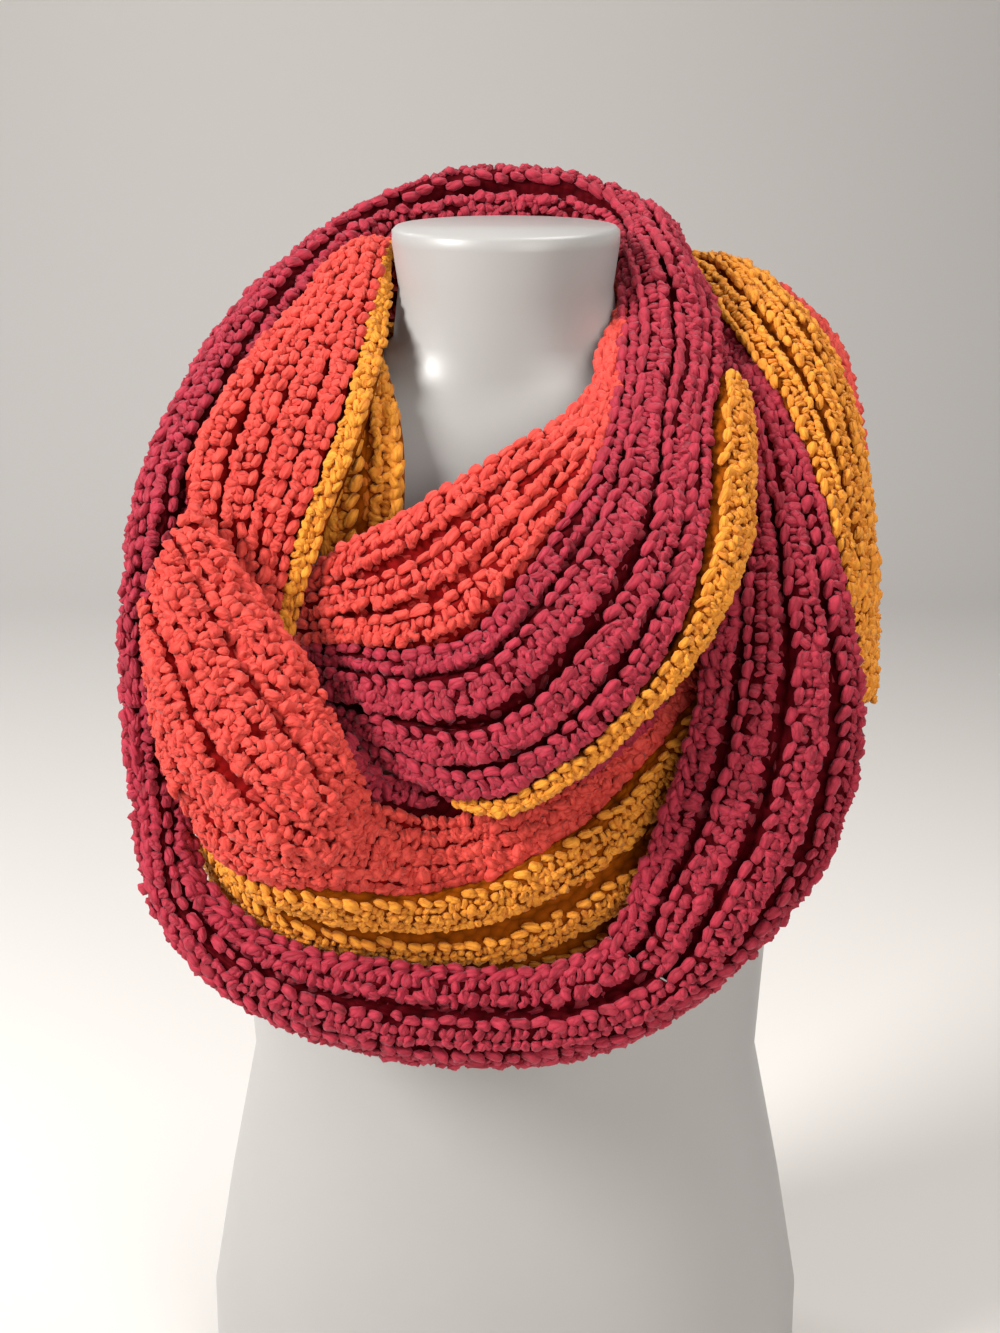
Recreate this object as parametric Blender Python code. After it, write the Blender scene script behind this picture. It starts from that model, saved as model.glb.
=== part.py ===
"""Infinity scarf of chunky ribbed crochet, wound three turns round a limbless dress form.

The scarf is one closed band, about 12 ribs wide, in crimson, mustard and orange yarn. It is built as
walls lofted along the band: a plain inside, and ribs raised in the points of the outside. Each wall is
one stretch of one colour. The front of the form faces -Y and its base stands on z = 0.
"""

from math import copysign, cos, pi, sin
from typing import NamedTuple

import bpy
from mathutils import Vector

MM = 0.001
WALL = 6.0  # mm, crochet cloth between the ribs
RIB_HEIGHT = 10.0  # mm, most height of a rib above the wall
RIB_SLENDERNESS = 0.40  # most height of a rib over its width
PLAIN_COLUMNS = 4  # across a wall with no ribs
SEAM = 0.3  # mm, between neighbouring stripes
JOINT = 1.2  # mm, between one stretch and the next, where the band bends
RIB_PROFILE = ((0.0, 0.0), (0.16, 0.85), (0.42, 1.0), (0.74, 0.80))  # place across a rib, and height there
FORM_SEGMENTS = 40


class Row(NamedTuple):
    """One section across the band, in mm, and the shares of its width where the colours change."""

    inner: tuple
    crown: tuple
    outer: tuple
    first: float = 1.0
    second: float = 1.0


class Stripe(NamedTuple):
    """One wall: its yarn, the rows it runs between, the cuts it lies between and how wide its ribs are."""

    name: str
    yarn: str
    start: float
    end: float
    edges: tuple
    ribs: tuple
    steps: float


class Ring(NamedTuple):
    """One level section of the dress form, in mm."""

    z: float
    half_width: float
    front: float
    back: float
    squareness: float


# Left of the neck: mustard along the neck, then orange. It starts behind the fold of the lower turn.
LEFT_PANEL = (
    Row((-104, -112, 476), (-120, -112, 486), (-138, -107, 492), 0.0, 0.22),
    Row((-92, -103, 514), (-120, -102, 522), (-150, -98, 522), 0.0, 0.20),
    Row((-78, -93, 546), (-112, -86, 552), (-155, -84, 548), 0.0, 0.18),
    Row((-67, -76, 575), (-103, -66, 580), (-145, -67, 570), 0.0, 0.17),
    Row((-61, -48, 600), (-92, -38, 606), (-128, -43, 591), 0.0, 0.17),
    Row((-60, -14, 624), (-80, -10, 628), (-106, -12, 614), 0.0, 0.17),
    Row((-59, 16, 640), (-72, 18, 647), (-87, 18, 632), 0.0, 0.19),
)
# Behind the neck, over the upper back: crimson, mustard and orange.
BACK = (
    Row((-50, 42, 634), (-60, 54, 626), (-74, 68, 600), 0.0, 0.26),
    Row((-24, 68, 622), (-30, 86, 602), (-40, 102, 560), 0.08, 0.40),
    Row((8, 80, 617), (8, 103, 584), (6, 117, 520), 0.20, 0.56),
    Row((38, 76, 616), (50, 98, 588), (60, 114, 526), 0.24, 0.62),
    Row((66, 64, 610), (93, 81, 622), (114, 106, 576), 0.24, 0.70),
)
# Over the right shoulder and down the right side.
RIGHT = (
    Row((86, 58, 604), (114, 63, 631), (146, 82, 598), 0.22, 0.76),
    Row((98, 32, 602), (128, 27, 620), (164, 42, 598), 0.20, 0.80),
    Row((108, -12, 592), (140, -15, 605), (174, 4, 583), 0.18, 0.84),
    Row((110, -62, 562), (150, -66, 569), (176, -43, 549), 0.34, 0.93),
    Row((105, -102, 508), (149, -113, 514), (178, -79, 492), 0.60),
    Row((95, -128, 455), (139, -142, 456), (175, -116, 443), 0.88),
    Row((80, -141, 408), (123, -158, 400), (161, -139, 402)),
    Row((66, -151, 372), (102, -167, 360), (142, -149, 365)),
)
# Under the chest, where the ribs draw together, and up the left side.
BOTTOM = (
    Row((50, -158, 340), (77, -173, 323), (101, -161, 326)),
    Row((20, -161, 325), (34, -177, 303), (46, -165, 290)),
    Row((-15, -162, 322), (-17, -179, 301), (-18, -167, 281)),
    Row((-55, -162, 327), (-68, -177, 306), (-78, -165, 292)),
    Row((-104, -157, 333), (-117, -169, 320), (-128, -157, 309)),
    Row((-147, -137, 361), (-158, -147, 352), (-167, -140, 343)),
)
LEFT = (
    Row((-154, -115, 404), (-168, -128, 400), (-179, -126, 397)),
    Row((-153, -103, 446), (-171, -117, 446), (-183, -116, 446)),
    Row((-147, -90, 486), (-171, -104, 488), (-182, -104, 487)),
    Row((-145, -73, 524), (-167, -85, 527), (-179, -84, 522)),
    Row((-138, -53, 555), (-159, -61, 560), (-172, -60, 548)),
    Row((-125, -28, 580), (-144, -33, 589), (-161, -32, 572)),
    Row((-112, 0, 602), (-129, -3, 613), (-147, -3, 597)),
    Row((-99, 25, 619), (-111, 24, 632), (-128, 34, 614)),
    Row((-83, 46, 637), (-89, 53, 649), (-101, 67, 630)),
)
# Standing collar behind the neck, folded over its top edge, drawn together right of the neck.
COLLAR = (
    Row((-56, 64, 643), (-56, 75, 663), (-66, 98, 636)),
    Row((-18, 72, 646), (-16, 87, 671), (-18, 112, 634)),
    Row((25, 72, 645), (28, 87, 669), (30, 110, 632)),
    Row((52, 62, 643), (59, 74, 664), (67, 89, 645), 0.04),
    Row((60, 42, 638), (72, 49, 657), (84, 56, 647), 0.05),
)
# Down and across the front: orange, crimson, and a mustard edge.
FRONT = (
    Row((60, 16, 630), (74, 19, 649), (90, 24, 640), 0.06),
    Row((58, -13, 615), (79, -14, 634), (101, -9, 620), 0.10),
    Row((48, -46, 600), (86, -50, 605), (114, -52, 586), 0.12, 0.80),
    Row((42, -66, 585), (85, -86, 580), (117, -88, 555), 0.14, 0.67),
    Row((27, -84, 573), (80, -114, 556), (113, -118, 524), 0.18, 0.67),
    Row((8, -95, 565), (66, -139, 534), (102, -142, 504), 0.24, 0.76),
    Row((-13, -102, 554), (45, -157, 512), (85, -164, 480), 0.28, 0.85),
    Row((-32, -105, 543), (22, -168, 491), (61, -178, 457), 0.32, 0.89),
    Row((-50, -104, 531), (-2, -171, 472), (31, -184, 431), 0.35, 0.90),
    Row((-68, -101, 521), (-30, -162, 464), (-4, -180, 411), 0.37, 0.93),
    Row((-86, -92, 507), (-66, -134, 463), (-47, -151, 421), 0.38),
    Row((-108, -80, 490), (-101, -101, 459), (-88, -114, 425), 0.38),
)
# The hidden turn: up left of the neck, round behind it and down to the right, plain and narrow.
HIDDEN = (
    Row((-50, -84, 522), (-72, -86, 516), (-94, -82, 510)),
    Row((-50, -75, 562), (-68, -75, 558), (-86, -68, 552)),
    Row((-57, -50, 588), (-72, -47, 589), (-88, -40, 584)),
    Row((-64, -14, 600), (-78, -12, 597), (-94, -10, 590)),
    Row((-61, 22, 602), (-74, 26, 597), (-88, 32, 588)),
    Row((-41, 52, 604), (-49, 63, 592), (-57, 74, 576)),
    Row((0, 67, 603), (0, 78, 588), (0, 88, 570)),
    Row((41, 52, 604), (49, 63, 592), (57, 74, 576)),
    Row((62, 24, 602), (75, 29, 597), (88, 34, 589)),
    Row((65, -12, 600), (79, -11, 597), (94, -8, 590)),
    Row((60, -46, 589), (76, -44, 587), (91, -40, 582)),
    Row((60, -72, 562), (80, -70, 557), (96, -66, 550)),
    Row((84, -81, 528), (102, -79, 520), (116, -74, 510)),
)
# Under the front and the outer turn: crimson, orange and mustard, to the fold on the left.
LOWER = (
    Row((110, -83, 506), (130, -90, 482), (146, -78, 455), 0.0, 0.05),
    Row((104, -94, 476), (124, -99, 440), (138, -90, 408), 0.0, 0.06),
    Row((84, -109, 452), (104, -117, 412), (119, -106, 372), 0.03, 0.10),
    Row((58, -121, 432), (77, -128, 386), (91, -118, 344), 0.07, 0.16),
    Row((28, -130, 418), (40, -145, 368), (51, -129, 323), 0.12, 0.26),
    Row((-5, -129, 427), (-3, -159, 364), (6, -136, 311), 0.22, 0.42),
    Row((-35, -132, 416), (-42, -167, 364), (-54, -125, 310), 0.20, 0.46),
    Row((-60, -150, 413), (-84, -179, 379), (-111, -112, 315), 0.12, 0.52),
    Row((-78, -151, 438), (-109, -182, 402), (-144, -105, 351), 0.05, 0.72),
    Row((-96, -141, 466), (-127, -177, 431), (-148, -107, 390), 0.0, 0.90),
    Row((-115, -130, 492), (-141, -165, 458), (-146, -148, 407), 0.0),
    Row((-134, -119, 516), (-153, -150, 483), (-152, -145, 430), 0.0),
    Row((-150, -108, 536), (-160, -134, 504), (-156, -140, 453), 0.0),
)
UPPER_TURNS = LEFT_PANEL + BACK + RIGHT + BOTTOM + LEFT + COLLAR + FRONT

# Row numbers where one stretch of the upper turns hands over to the next.
TO_BACK = len(LEFT_PANEL)
TO_RIGHT = TO_BACK + len(BACK)
TO_BOTTOM = TO_RIGHT + len(RIGHT)
TO_LEFT = TO_BOTTOM + len(BOTTOM)
TO_COLLAR = TO_LEFT + len(LEFT)
TO_FRONT = TO_COLLAR + len(COLLAR)
FRONT_END = TO_FRONT + len(FRONT) - 1

UPPER_STRIPES = (
    Stripe("left_panel_mustard", "mustard", 0, TO_BACK, (0, "second"), (1,), 2),
    Stripe("left_panel_orange", "orange", 0, TO_BACK, ("second", 1), (23, 24, 26, 27), 2),
    Stripe("back_crimson", "crimson", TO_BACK + 1, TO_RIGHT, (0, "first"), (1,), 2),
    Stripe("back_mustard", "mustard", TO_BACK, TO_RIGHT, ("first", "second"), (1, 1, 1), 2),
    Stripe("back_orange", "orange", TO_BACK, TO_RIGHT, ("second", 1), (1, 1, 1), 2),
    Stripe("right_crimson", "crimson", TO_RIGHT, TO_BOTTOM, (0, "first"), (20, 26, 30, 24), 2),
    Stripe("right_mustard", "mustard", TO_RIGHT, TO_RIGHT + 5, ("first", "second"), (34, 34, 32), 2),
    Stripe("right_orange", "orange", TO_RIGHT, TO_RIGHT + 3, ("second", 1), (1,), 2),
    Stripe("bottom_crimson", "crimson", TO_BOTTOM, TO_LEFT, (0, 1), (38, 34, 28), 2),
    Stripe("left_crimson", "crimson", TO_LEFT, TO_COLLAR, (0, 1), (38, 34, 28), 2),
    Stripe("collar_crimson", "crimson", TO_COLLAR, TO_FRONT, (0, 1), (30, 34, 36), 2),
    Stripe("front_orange", "orange", TO_FRONT, FRONT_END, (0, "first"), (32, 34, 34), 2),
    Stripe("front_crimson", "crimson", TO_FRONT, FRONT_END, ("first", "second"), (16, 34, 27, 23), 2),
    Stripe("front_mustard", "mustard", TO_FRONT + 2.2, FRONT_END - 1.6, ("second", 1), (1,), 2),
)
HIDDEN_STRIPES = (Stripe("hidden_mustard", "mustard", 0, len(HIDDEN) - 1, (0, 1), (), 2),)
LOWER_STRIPES = (
    Stripe("lower_crimson", "crimson", 2.5, 8, (0, "first"), (1,), 2),
    Stripe("lower_orange", "orange", 0, 12, ("first", "second"), (22, 28, 27, 23), 2),
    Stripe("lower_mustard", "mustard", 0, 8.6, ("second", 1), (39, 32, 29), 2),
)

FORM = (
    Ring(0, 160, 100, 98, 2.3),
    Ring(6, 168, 106, 104, 2.3),
    Ring(60, 168, 106, 104, 2.3),
    Ring(130, 156, 98, 92, 2.3),
    Ring(210, 140, 90, 82, 2.3),
    Ring(280, 144, 94, 84, 2.3),
    Ring(350, 154, 110, 90, 2.3),
    Ring(410, 162, 112, 94, 2.4),
    Ring(460, 172, 100, 96, 2.5),
    Ring(505, 182, 80, 94, 2.5),
    Ring(532, 187, 72, 88, 2.5),
    Ring(551, 181, 66, 82, 2.4),
    Ring(564, 156, 61, 77, 2.3),
    Ring(574, 124, 57, 72, 2.2),
    Ring(582, 95, 54, 66, 2.1),
    Ring(591, 71, 53, 59, 2.0),
    Ring(604, 58, 53, 55, 2.0),
    Ring(630, 55, 54, 54, 2.0),
    Ring(652, 58, 58, 58, 2.0),
    Ring(658, 58, 58, 58, 2.0),
    Ring(660, 56, 56, 56, 2.0),
)


def clear_scene():
    for obj in list(bpy.data.objects):
        bpy.data.objects.remove(obj, do_unlink=True)


def material(name, colour, roughness):
    """A plain Principled surface."""
    made = bpy.data.materials.new(name)
    made.use_nodes = True
    shader = made.node_tree.nodes["Principled BSDF"]
    shader.inputs["Base Color"].default_value = (*colour, 1.0)
    shader.inputs["Roughness"].default_value = roughness
    shader.inputs["Metallic"].default_value = 0.0
    made.diffuse_color = (*colour, 1.0)
    return made


def catmull_rom(before, start, end, after, share):
    """The cubic through start and end, share of the way from one to the other."""
    return 0.5 * (
        2 * start
        + (end - before) * share
        + (2 * before - 5 * start + 4 * end - after) * share**2
        + (3 * start - before - 3 * end + after) * share**3
    )


def numbers(row):
    return (*row.inner, *row.crown, *row.outer, row.first, row.second)


def section(rows, at):
    """The row at a fractional row number, on a smooth curve through the table."""
    last = len(rows) - 1
    index = min(max(int(at), 0), last - 1)
    picked = [numbers(rows[min(max(index + step, 0), last)]) for step in (-1, 0, 1, 2)]
    blended = [catmull_rom(*values, at - index) for values in zip(*picked)]
    return Row(Vector(blended[0:3]), Vector(blended[3:6]), Vector(blended[6:9]), *blended[9:])


def across(row, share):
    """The point of a section at a share of its width, on the arc through its three points."""
    return (
        row.inner * (2 * share - 1) * (share - 1)
        + row.crown * 4 * share * (1 - share)
        + row.outer * share * (2 * share - 1)
    )


def outward(rows, at, share):
    """Unit normal of the band's middle surface on its ribbed side."""
    reach = 0.02
    along = across(section(rows, at + reach), share) - across(section(rows, at - reach), share)
    row = section(rows, at)
    over = across(row, share + reach) - across(row, share - reach)
    return along.cross(over).normalized()


def cut(row, edge):
    return getattr(row, edge) if isinstance(edge, str) else float(edge)


def valleys(stripe):
    """Shares of a wall's width where its ribs meet, and its two edges."""
    return [sum(stripe.ribs[:count]) / sum(stripe.ribs) for count in range(len(stripe.ribs) + 1)]


def inside(stripe):
    """Shares of a wall's width at the points of its plain inside."""
    return valleys(stripe) if len(stripe.ribs) > 1 else [0, 0.5, 1]


def outside(stripe, width):
    """Shares of a wall's width at the points of its outside, and how far the ribs raise each one."""
    if not stripe.ribs:
        return [(column / PLAIN_COLUMNS, 0) for column in range(PLAIN_COLUMNS + 1)]
    points = []
    ends = valleys(stripe)
    for low, high in zip(ends, ends[1:]):
        rise = min(RIB_HEIGHT, RIB_SLENDERNESS * width * (high - low))
        points += [(low + (high - low) * place, rise * height) for place, height in RIB_PROFILE]
    return points + [(1, 0)]


def ring_points(rows, stripe, at):
    """One closed section of a wall: along the plain inside, then back over the ribbed outside."""
    row = section(rows, at)
    width = (row.crown - row.inner).length + (row.outer - row.crown).length
    low = cut(row, stripe.edges[0]) + 0.5 * SEAM / width
    high = cut(row, stripe.edges[1]) - 0.5 * SEAM / width
    points = []
    for side in inside(stripe):
        share = low + (high - low) * side
        points.append(across(row, share) - outward(rows, at, share) * WALL / 2)
    for side, lift in reversed(outside(stripe, width * (high - low))):
        share = low + (high - low) * side
        points.append(across(row, share) + outward(rows, at, share) * (WALL / 2 + lift))
    return [point * MM for point in points]


def loft_faces(levels, count):
    """Side faces between rings, those of the closing side split along the other diagonal."""
    faces = []
    for level in range(levels - 1):
        base = level * count
        for point in range(count - 1):
            faces.append((base + point, base + point + 1, base + count + point + 1, base + count + point))
        faces.append((base, base + count, base + 2 * count - 1, base + count - 1))
    return faces


def cap_faces(stripe, base, count):
    """The end of a wall in pieces one inside column wide, facing along the band."""
    columns = len(inside(stripe)) - 1
    each = (count - columns - 2) // columns
    faces = []
    for column in range(columns):
        over = [base + count - 1 - each * column - step for step in range(each + 1)]
        faces.append((base + column + 1, base + column, *over))
    return faces


def body(name, rings, faces, surface):
    mesh = bpy.data.meshes.new(name)
    mesh.from_pydata([point for ring in rings for point in ring], [], faces)
    mesh.polygons.foreach_set("use_smooth", [True] * len(faces))
    mesh.materials.append(surface)
    made = bpy.data.objects.new(name, mesh)
    bpy.context.scene.collection.objects.link(made)
    return made


def trim(rows, at):
    """Half a joint, in rows, where the rows lie closest together across the section."""
    step = 0.05
    near, far = section(rows, at - step), section(rows, at + step)
    pairs = ((near.inner, far.inner), (near.crown, far.crown), (near.outer, far.outer))
    return 0.5 * JOINT * 2 * step / min((end - start).length for start, end in pairs)


def wall(rows, stripe, yarns):
    """The wall of one stripe, from its first row to its last, with sections at shared row numbers."""
    stations = [stripe.start + trim(rows, stripe.start)]
    mark = int(stripe.start * stripe.steps) + 1
    while mark / stripe.steps < stripe.end:
        stations.append(mark / stripe.steps)
        mark += 1
    stations.append(stripe.end - trim(rows, stripe.end))
    rings = [ring_points(rows, stripe, at) for at in stations]
    count = len(rings[0])
    last = (len(rings) - 1) * count
    start_cap = cap_faces(stripe, 0, count)
    end_cap = [tuple(reversed(face)) for face in cap_faces(stripe, last, count)]
    return body(stripe.name, rings, loft_faces(len(rings), count) + start_cap + end_cap, yarns[stripe.yarn])


def form_ring(ring):
    """A level oval of the form, squarer than an ellipse where squareness is over 2."""
    points = []
    for segment in range(FORM_SEGMENTS):
        angle = 2 * pi * segment / FORM_SEGMENTS
        reach = ring.back if sin(angle) > 0 else ring.front
        power = 2 / ring.squareness
        x = ring.half_width * copysign(abs(cos(angle)) ** power, cos(angle))
        y = reach * copysign(abs(sin(angle)) ** power, sin(angle))
        points.append(Vector((x, y, ring.z)) * MM)
    return points


def main():
    clear_scene()
    yarns = {
        "crimson": material("crimson_yarn", (0.36, 0.028, 0.075), 0.85),
        "orange": material("orange_yarn", (0.68, 0.085, 0.030), 0.85),
        "mustard": material("mustard_yarn", (0.70, 0.30, 0.015), 0.85),
    }
    rings = [form_ring(ring) for ring in FORM]
    base = tuple(reversed(range(FORM_SEGMENTS)))
    top = tuple(range((len(FORM) - 1) * FORM_SEGMENTS, len(FORM) * FORM_SEGMENTS))
    plastic = material("white_plastic", (0.82, 0.81, 0.80), 0.25)
    body("dress_form", rings, loft_faces(len(FORM), FORM_SEGMENTS) + [base, top], plastic)
    for stripe in UPPER_STRIPES:
        wall(UPPER_TURNS, stripe, yarns)
    for stripe in HIDDEN_STRIPES:
        wall(HIDDEN, stripe, yarns)
    for stripe in LOWER_STRIPES:
        wall(LOWER, stripe, yarns)


main()
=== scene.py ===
"""Looks of an infinity scarf of chunky ribbed crochet, wound three turns round a limbless dress form.

Each stretch of cloth is a thin ribbed shell on the form of its solid. Plump stitches lie on it in columns:
a link of the chain on the crest of each rib, two thin posts below it, then puffs down the flank to a pair
that hangs over the valley. The rolled edge on the left is stuffed, and puffs cover its ribs up to their
crests. A braid runs along each free edge. The front of the form faces -Y.
"""

import logging
from dataclasses import dataclass, field
from enum import Enum
from math import copysign, cos, pi, radians, sin

import bmesh
import bpy
import numpy as np
from mathutils import Matrix, Vector, noise
from mathutils.bvhtree import BVHTree


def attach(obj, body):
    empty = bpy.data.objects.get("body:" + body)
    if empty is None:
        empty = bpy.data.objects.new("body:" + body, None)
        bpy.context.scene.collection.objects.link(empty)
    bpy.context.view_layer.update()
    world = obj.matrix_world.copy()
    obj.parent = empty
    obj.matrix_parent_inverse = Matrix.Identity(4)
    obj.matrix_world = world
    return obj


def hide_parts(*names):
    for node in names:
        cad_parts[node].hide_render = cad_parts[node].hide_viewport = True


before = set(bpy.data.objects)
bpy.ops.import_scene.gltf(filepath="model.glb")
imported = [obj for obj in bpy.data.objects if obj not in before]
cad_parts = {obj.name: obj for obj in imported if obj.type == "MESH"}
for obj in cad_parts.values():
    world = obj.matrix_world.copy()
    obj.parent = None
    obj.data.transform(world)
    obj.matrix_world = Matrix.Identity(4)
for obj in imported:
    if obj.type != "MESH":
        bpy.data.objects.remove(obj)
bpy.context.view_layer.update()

MM = 0.001
LOG = logging.getLogger("scarf")
Triple = tuple[float, float, float]

# The cloth, in mm, as its solids have it.
WALL = 6.0  # thickness between the ribs
RIB_HEIGHT = 10.0  # most height of a rib
RIB_SLENDERNESS = 0.40  # most height of a rib over its width

# The shell under the stitches, in mm.
SHELL_DEPTH = 2.4  # how far the shell lies below the outside of its solid
SHELL_THICKNESS = 2.6
SHELL_ALONG = 5.2  # length of one cell of the shell
CELLS_PER_RIB = 10
RIB_LEAN = 0.75  # power of the place across a rib: lower moves its crest to the inner side
RIB_ROUNDNESS = 0.80  # power of the sine across a rib: lower is squarer

# The stitches, in mm, and the shares of a rib's width where their rows lie.
STITCH_PITCH = 8.6  # from one stitch to the next along a rib
ROW_PITCH = 4.3  # from one row of loops to the next down a rib's flank
CREST = 0.205  # share where the chain lies
BROW = 0.66  # share where the last puffs of an unstuffed rib hang
FOOT = 0.88  # share where the last loops lie, in the shade
CLEARANCE = 4.5  # least distance from the middle of a loop to the dress form
DEEP_RIB = 23.0  # width of a rib whose valleys get the full painted shade
GAUGE_MUSTARD = 0.82  # size of the mustard loops that show, beside the others
RIM = 2.4  # from the edge of the band to the first row of its braid
BRAID = 5.8  # from the edge of the band to the second row of its braid
DIP = 11.0  # degrees that a loop's leading end dips under the next
STEEPEST = 1.5  # steepest slope of a rib's flank that its loops follow
STUFFED = 1.1  # plumpness past which puffs cover a rib up to its crest
VALLEY_RISE = 9.0  # how far a stuffed rib's valley loops rise, for each whole of plumpness over 1
VARIANTS = 5  # shapes of each kind of loop
PLAIN_RIBS = (1, 1)  # how the loops lie on a stretch with no raised ribs

# How uneven the stitches are.
LOOSENESS = 0.5  # mm that a loop strays in and out
STRAY_ALONG = 0.07  # along its rib, in stitches
STRAY_ACROSS = 0.025  # across its rib, as a share of the rib's width
UNEVEN_SIZE = 0.09  # of a whole loop
UNEVEN_SIDES = 0.07  # of its length, width and height beside each other
# spread of each loop's painted shade
UNEVEN_SHADE = 0.1
FIRST_SEED = 100
SEED_STEP = 10
LUMP_SEED = 35  # of the loops' lumps, which would differ from run to run without it

# How finely the cloth is measured.
FLAT_SECTIONS = 25  # along a stretch, for its flat size
RIB_SAMPLES = 17  # across a rib, for its rows
LINE_SAMPLES = 160  # along a rib, for its stitches
AT_EDGE = 0.005  # share of the band's width within which a stripe reaches its edge

# The parts of the band's width that a stripe takes, between its edges and its two cuts.
WHOLE = (0, 1)
INNER = (0, "first")
MIDDLE = ("first", "second")
OUTER = ("second", 1)


class Yarn(Enum):
    """The three colours of yarn, by the name of their material slot in the record."""

    CRIMSON = "crimson_yarn"
    ORANGE = "orange_yarn"
    MUSTARD = "mustard_yarn"


@dataclass(frozen=True)
class Row:
    """One section across the band, in mm, and the shares of its width where the colours change."""

    inner: Triple
    crown: Triple
    outer: Triple
    first: float = 1.0
    second: float = 1.0


@dataclass(frozen=True)
class Stripe:
    """One stretch of one colour: the rows it runs between, its cuts, its ribs' widths and its yarn.

    Gauge is the size of its loops. Plump is how full it is stuffed: past 1 its valleys get shallower and its
    loops less orderly.
    """

    name: str
    yarn: Yarn
    start: float
    end: float
    edges: tuple[float | str, float | str]
    ribs: tuple[float, ...]
    gauge: float = 1.0
    plump: float = 1.0

    @property
    def valleys(self) -> np.ndarray:
        """Shares of the stretch's width where its ribs meet, and its two edges."""
        widths = self.ribs or PLAIN_RIBS
        return np.concatenate([[0.0], np.cumsum(widths) / sum(widths)])


@dataclass(frozen=True)
class Ring:
    """One level section of the dress form, in mm."""

    z: float
    half_width: float
    front: float
    back: float
    squareness: float


# Left of the neck: mustard along the neck, then orange. It starts behind the fold of the lower turn.
LEFT_PANEL = (
    Row((-104, -112, 476), (-120, -112, 486), (-138, -107, 492), 0.0, 0.22),
    Row((-92, -103, 514), (-120, -102, 522), (-150, -98, 522), 0.0, 0.20),
    Row((-78, -93, 546), (-112, -86, 552), (-155, -84, 548), 0.0, 0.18),
    Row((-67, -76, 575), (-103, -66, 580), (-145, -67, 570), 0.0, 0.17),
    Row((-61, -48, 600), (-92, -38, 606), (-128, -43, 591), 0.0, 0.17),
    Row((-60, -14, 624), (-80, -10, 628), (-106, -12, 614), 0.0, 0.17),
    Row((-59, 16, 640), (-72, 18, 647), (-87, 18, 632), 0.0, 0.19),
)
# Behind the neck, over the upper back: crimson, mustard and orange.
BACK = (
    Row((-50, 42, 634), (-60, 54, 626), (-74, 68, 600), 0.0, 0.26),
    Row((-24, 68, 622), (-30, 86, 602), (-40, 102, 560), 0.08, 0.40),
    Row((8, 80, 617), (8, 103, 584), (6, 117, 520), 0.20, 0.56),
    Row((38, 76, 616), (50, 98, 588), (60, 114, 526), 0.24, 0.62),
    Row((66, 64, 610), (93, 81, 622), (114, 106, 576), 0.24, 0.70),
)
# Over the right shoulder and down the right side.
RIGHT = (
    Row((86, 58, 604), (114, 63, 631), (146, 82, 598), 0.22, 0.76),
    Row((98, 32, 602), (128, 27, 620), (164, 42, 598), 0.20, 0.80),
    Row((108, -12, 592), (140, -15, 605), (174, 4, 583), 0.18, 0.84),
    Row((110, -62, 562), (150, -66, 569), (176, -43, 549), 0.34, 0.93),
    Row((105, -102, 508), (149, -113, 514), (178, -79, 492), 0.60),
    Row((95, -128, 455), (139, -142, 456), (175, -116, 443), 0.88),
    Row((80, -141, 408), (123, -158, 400), (161, -139, 402)),
    Row((66, -151, 372), (102, -167, 360), (142, -149, 365)),
)
# Under the chest, where the ribs draw together, and up the left side.
BOTTOM = (
    Row((50, -158, 340), (77, -173, 323), (101, -161, 326)),
    Row((20, -161, 325), (34, -177, 303), (46, -165, 290)),
    Row((-15, -162, 322), (-17, -179, 301), (-18, -167, 281)),
    Row((-55, -162, 327), (-68, -177, 306), (-78, -165, 292)),
    Row((-104, -157, 333), (-117, -169, 320), (-128, -157, 309)),
    Row((-147, -137, 361), (-158, -147, 352), (-167, -140, 343)),
)
LEFT = (
    Row((-154, -115, 404), (-168, -128, 400), (-179, -126, 397)),
    Row((-153, -103, 446), (-171, -117, 446), (-183, -116, 446)),
    Row((-147, -90, 486), (-171, -104, 488), (-182, -104, 487)),
    Row((-145, -73, 524), (-167, -85, 527), (-179, -84, 522)),
    Row((-138, -53, 555), (-159, -61, 560), (-172, -60, 548)),
    Row((-125, -28, 580), (-144, -33, 589), (-161, -32, 572)),
    Row((-112, 0, 602), (-129, -3, 613), (-147, -3, 597)),
    Row((-99, 25, 619), (-111, 24, 632), (-128, 34, 614)),
    Row((-83, 46, 637), (-89, 53, 649), (-101, 67, 630)),
)
# Standing collar behind the neck, folded over its top edge, drawn together right of the neck.
COLLAR = (
    Row((-56, 64, 643), (-56, 75, 663), (-66, 98, 636)),
    Row((-18, 72, 646), (-16, 87, 671), (-18, 112, 634)),
    Row((25, 72, 645), (28, 87, 669), (30, 110, 632)),
    Row((52, 62, 643), (59, 74, 664), (67, 89, 645), 0.04),
    Row((60, 42, 638), (72, 49, 657), (84, 56, 647), 0.05),
)
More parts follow.
